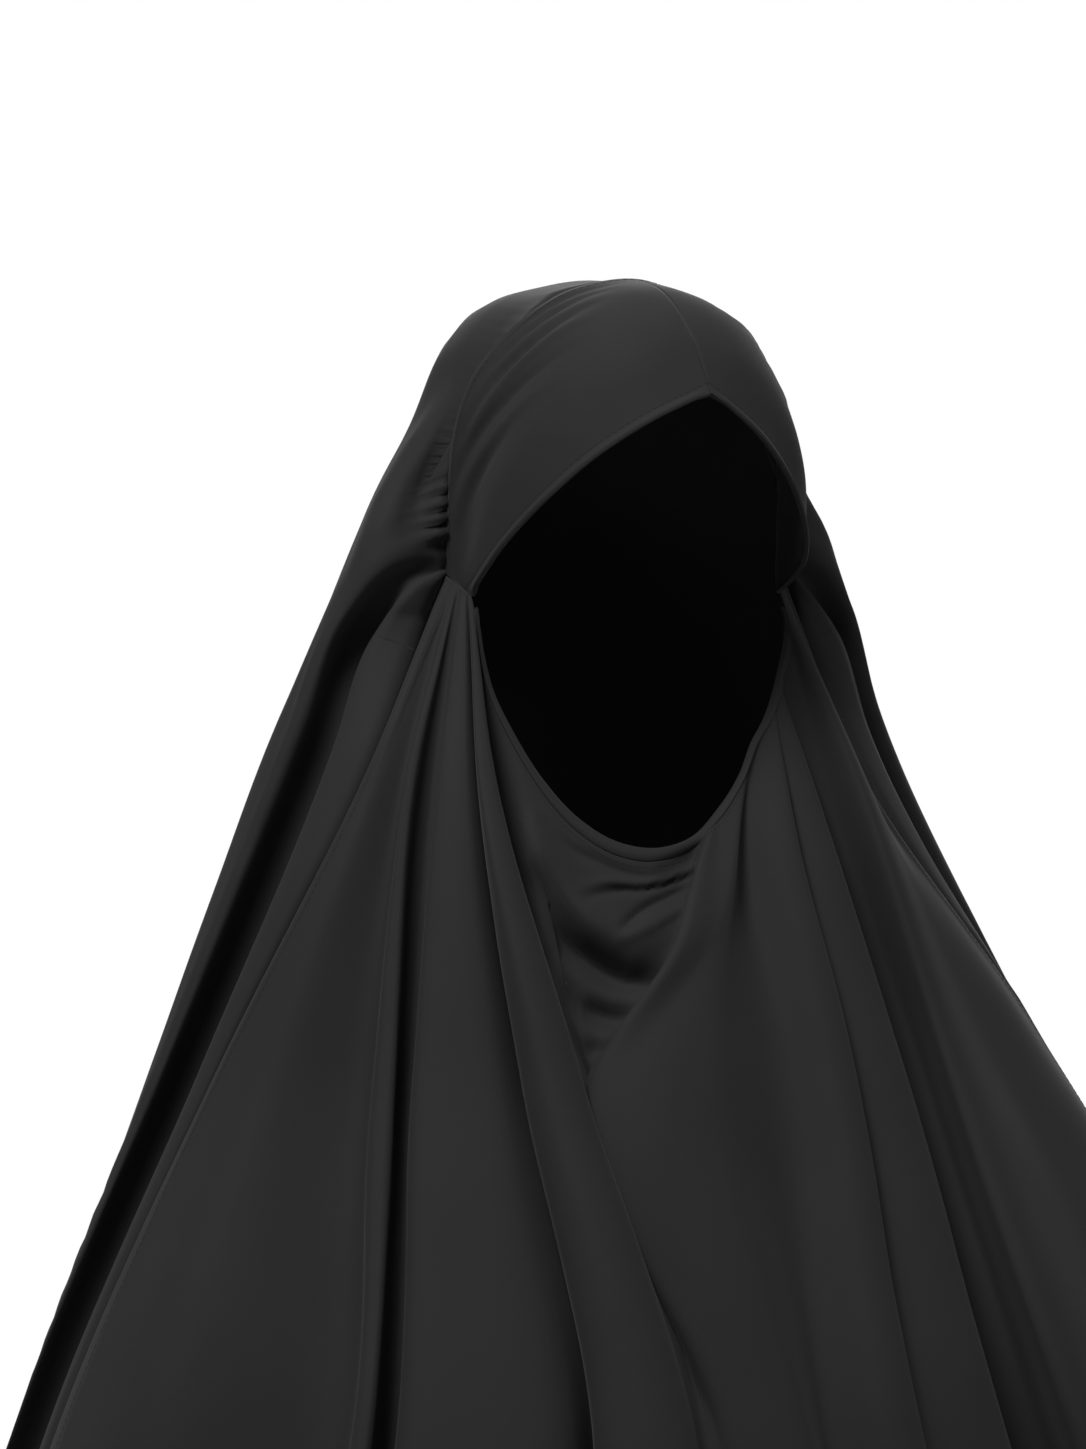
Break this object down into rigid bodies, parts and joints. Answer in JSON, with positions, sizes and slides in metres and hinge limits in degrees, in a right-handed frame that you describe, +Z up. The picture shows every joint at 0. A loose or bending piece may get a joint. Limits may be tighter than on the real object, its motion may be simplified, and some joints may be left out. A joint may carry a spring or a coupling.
{
  "type": "khimar veil",
  "caption": "Hip-length khimar veil in worn form: a forehead band, a hood and back panel gathered at the temples, and a front panel falling in deep folds from a cowl.",
  "frame": {"origin": "the crown of the wearer's head, at the inside of the hood's top", "axes": "+Z up along the standing wearer, -Y the way the wearer faces, +X the wearer's left"},
  "size_m": [0.7694, 0.4841, 0.9727],
  "materials": {
    "crepe": "matte black crepe"
  },
  "bodies": {
    "root": {"band_right": "crepe", "band_left": "crepe", "back_panel": "crepe", "front_panel": "crepe", "chin_binding": "crepe"}
  },
  "joints": []
}
